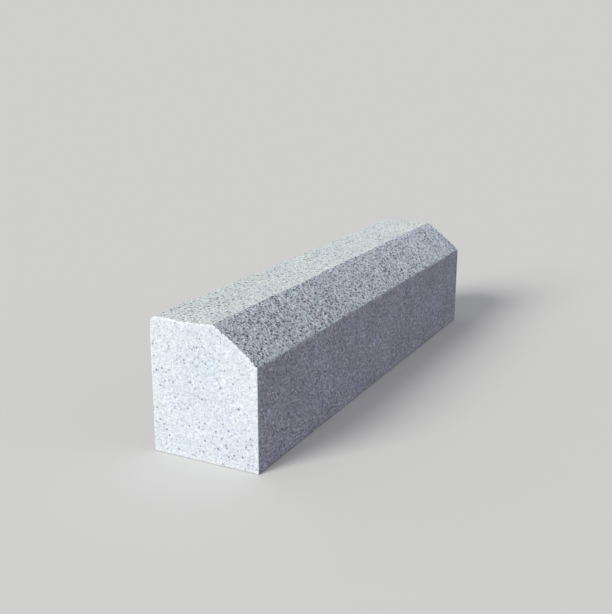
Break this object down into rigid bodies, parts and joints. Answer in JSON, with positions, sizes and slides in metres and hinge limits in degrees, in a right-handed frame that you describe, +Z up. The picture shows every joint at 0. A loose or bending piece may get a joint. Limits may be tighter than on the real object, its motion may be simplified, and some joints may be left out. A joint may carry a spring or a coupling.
{
  "type": "granite kerb stone",
  "caption": "Granite kerb stone with a splayed, hammered front arris and a rounded back arris.",
  "frame": {"origin": "centre of the bed, the sawn face that the stone lies on", "axes": "+Z up from the bed, +X towards the splayed front, Y along the stone"},
  "size_m": [0.206, 1, 0.244],
  "materials": {
    "granite": "sawn bed, back, front and ends, fine-hammered top, coarse-hammered splay"
  },
  "bodies": {
    "root": {"kerb_stone": "granite"}
  },
  "joints": []
}
